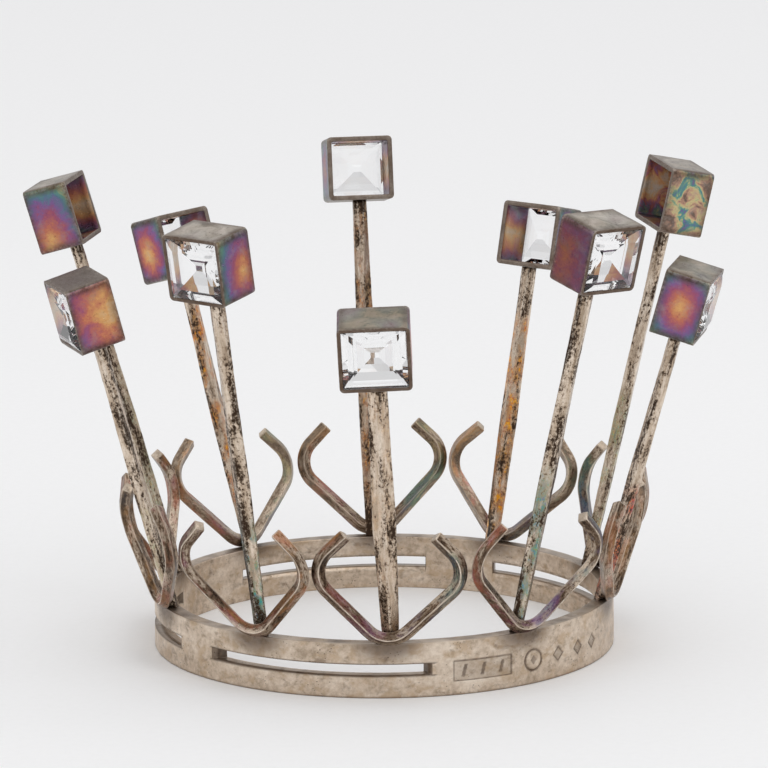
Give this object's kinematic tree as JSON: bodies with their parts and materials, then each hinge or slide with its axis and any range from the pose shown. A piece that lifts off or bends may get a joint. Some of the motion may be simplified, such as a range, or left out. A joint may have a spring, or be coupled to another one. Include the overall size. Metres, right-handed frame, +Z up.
{
  "type": "crown",
  "caption": "Small bridal crown: a slotted ring band carries leaning forged spikes, each with a square box collet holding a step-cut crystal, and an open bent-wire chevron at its foot.",
  "frame": {"origin": "level with the band's underside, under the middle of the whole crown's box; the ring's axis is 1.53 mm to +X of it", "axes": "+Z up, parallel to the ring's axis; -Y towards the front spike; +X to the right seen from the front"},
  "size_m": [0.0902, 0.0891, 0.062],
  "materials": {
    "band_silver": "worn satin silver with warm brown tarnish",
    "spike_silver": "hammered silver, streaked with dark tarnish",
    "wire_silver": "dark brown tarnished silver wire with worn edges",
    "collet_silver": "satin silver sheet with rainbow tarnish",
    "crystal": "clear polished step-cut crystal"
  },
  "bodies": {
    "root": {"band": "band_silver", "spike_1": "spike_silver", "spike_2": "spike_silver", "spike_3": "spike_silver", "spike_4": "spike_silver", "spike_5": "spike_silver", "spike_6": "spike_silver", "spike_7": "spike_silver", "spike_8": "spike_silver", "spike_9": "spike_silver", "spike_10": "spike_silver", "chevron_1": "wire_silver", "chevron_2": "wire_silver", "chevron_3": "wire_silver", "chevron_4": "wire_silver", "chevron_5": "wire_silver", "chevron_6": "wire_silver", "chevron_7": "wire_silver", "chevron_8": "wire_silver", "chevron_9": "wire_silver", "chevron_10": "wire_silver", "collet_1": "collet_silver", "collet_2": "collet_silver", "collet_3": "collet_silver", "collet_4": "collet_silver", "collet_5": "collet_silver", "collet_6": "collet_silver", "collet_7": "collet_silver", "collet_8": "collet_silver", "collet_9": "collet_silver", "collet_10": "collet_silver", "crystal_1": "crystal", "crystal_2": "crystal", "crystal_3": "crystal", "crystal_4": "crystal", "crystal_5": "crystal", "crystal_6": "crystal", "crystal_7": "crystal", "crystal_8": "crystal", "crystal_9": "crystal", "crystal_10": "crystal"}
  },
  "joints": []
}
